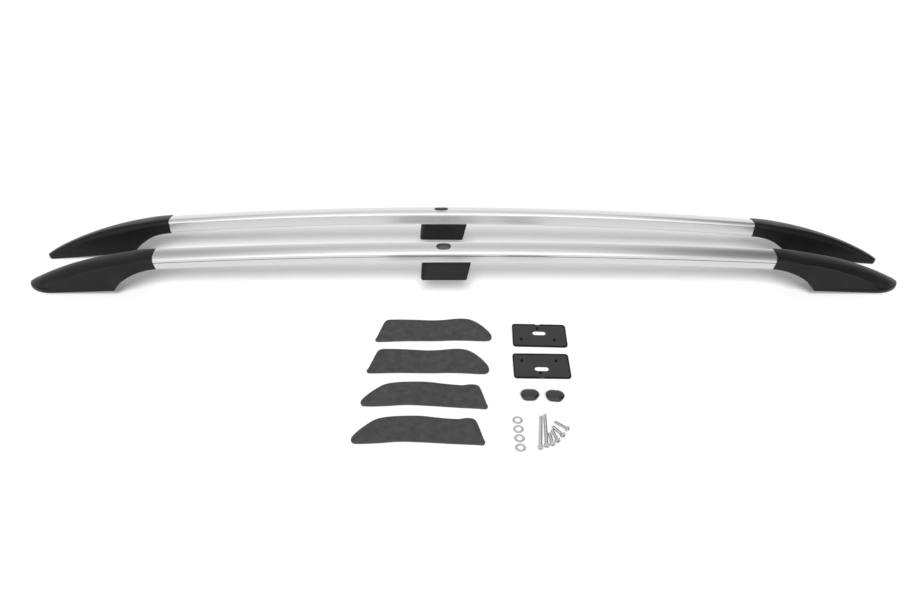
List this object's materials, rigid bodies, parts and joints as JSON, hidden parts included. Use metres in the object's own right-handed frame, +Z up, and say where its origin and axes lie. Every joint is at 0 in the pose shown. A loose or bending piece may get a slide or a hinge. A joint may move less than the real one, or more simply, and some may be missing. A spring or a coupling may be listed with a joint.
{
  "type": "roof side rail pair",
  "caption": "Pair of bowed aluminium roof side rails with black moulded feet, laid out with their pads, gaskets, plugs, washers and screws.",
  "frame": {"origin": "middle of the layout's bounding box, on the floor that the feet and the kit stand on", "axes": "+X along the rails towards the vehicle's rear, +Y from the fitting kit towards the right-hand rail, +Z up"},
  "size_m": [1.9198, 0.6502, 0.1192],
  "materials": {
    "silver_rail": "satin anodised",
    "black_nylon": "fine-grained moulded nylon, semi-matte",
    "zinc_steel": "bright zinc plate",
    "brass": "turned",
    "foam": "closed-cell foam, matte",
    "rubber": "moulded rubber, matte"
  },
  "bodies": {
    "root": {"left_rail": "silver_rail", "right_rail": "silver_rail", "left_front_foot": "black_nylon", "left_rear_foot": "black_nylon", "right_front_foot": "black_nylon", "right_rear_foot": "black_nylon", "left_middle_foot": "black_nylon", "right_middle_foot": "black_nylon", "thread_inserts": "brass", "bolt_sleeves": "zinc_steel", "tongue_screws": "zinc_steel", "middle_foot_screws": "zinc_steel", "left_front_pad": "foam", "left_rear_pad": "foam", "right_front_pad": "foam", "right_rear_pad": "foam", "left_gasket": "rubber", "right_gasket": "rubber", "left_hole_plug": "rubber", "right_hole_plug": "rubber", "kit_washers": "zinc_steel", "kit_long_screws": "zinc_steel", "kit_short_screws": "zinc_steel"}
  },
  "joints": []
}
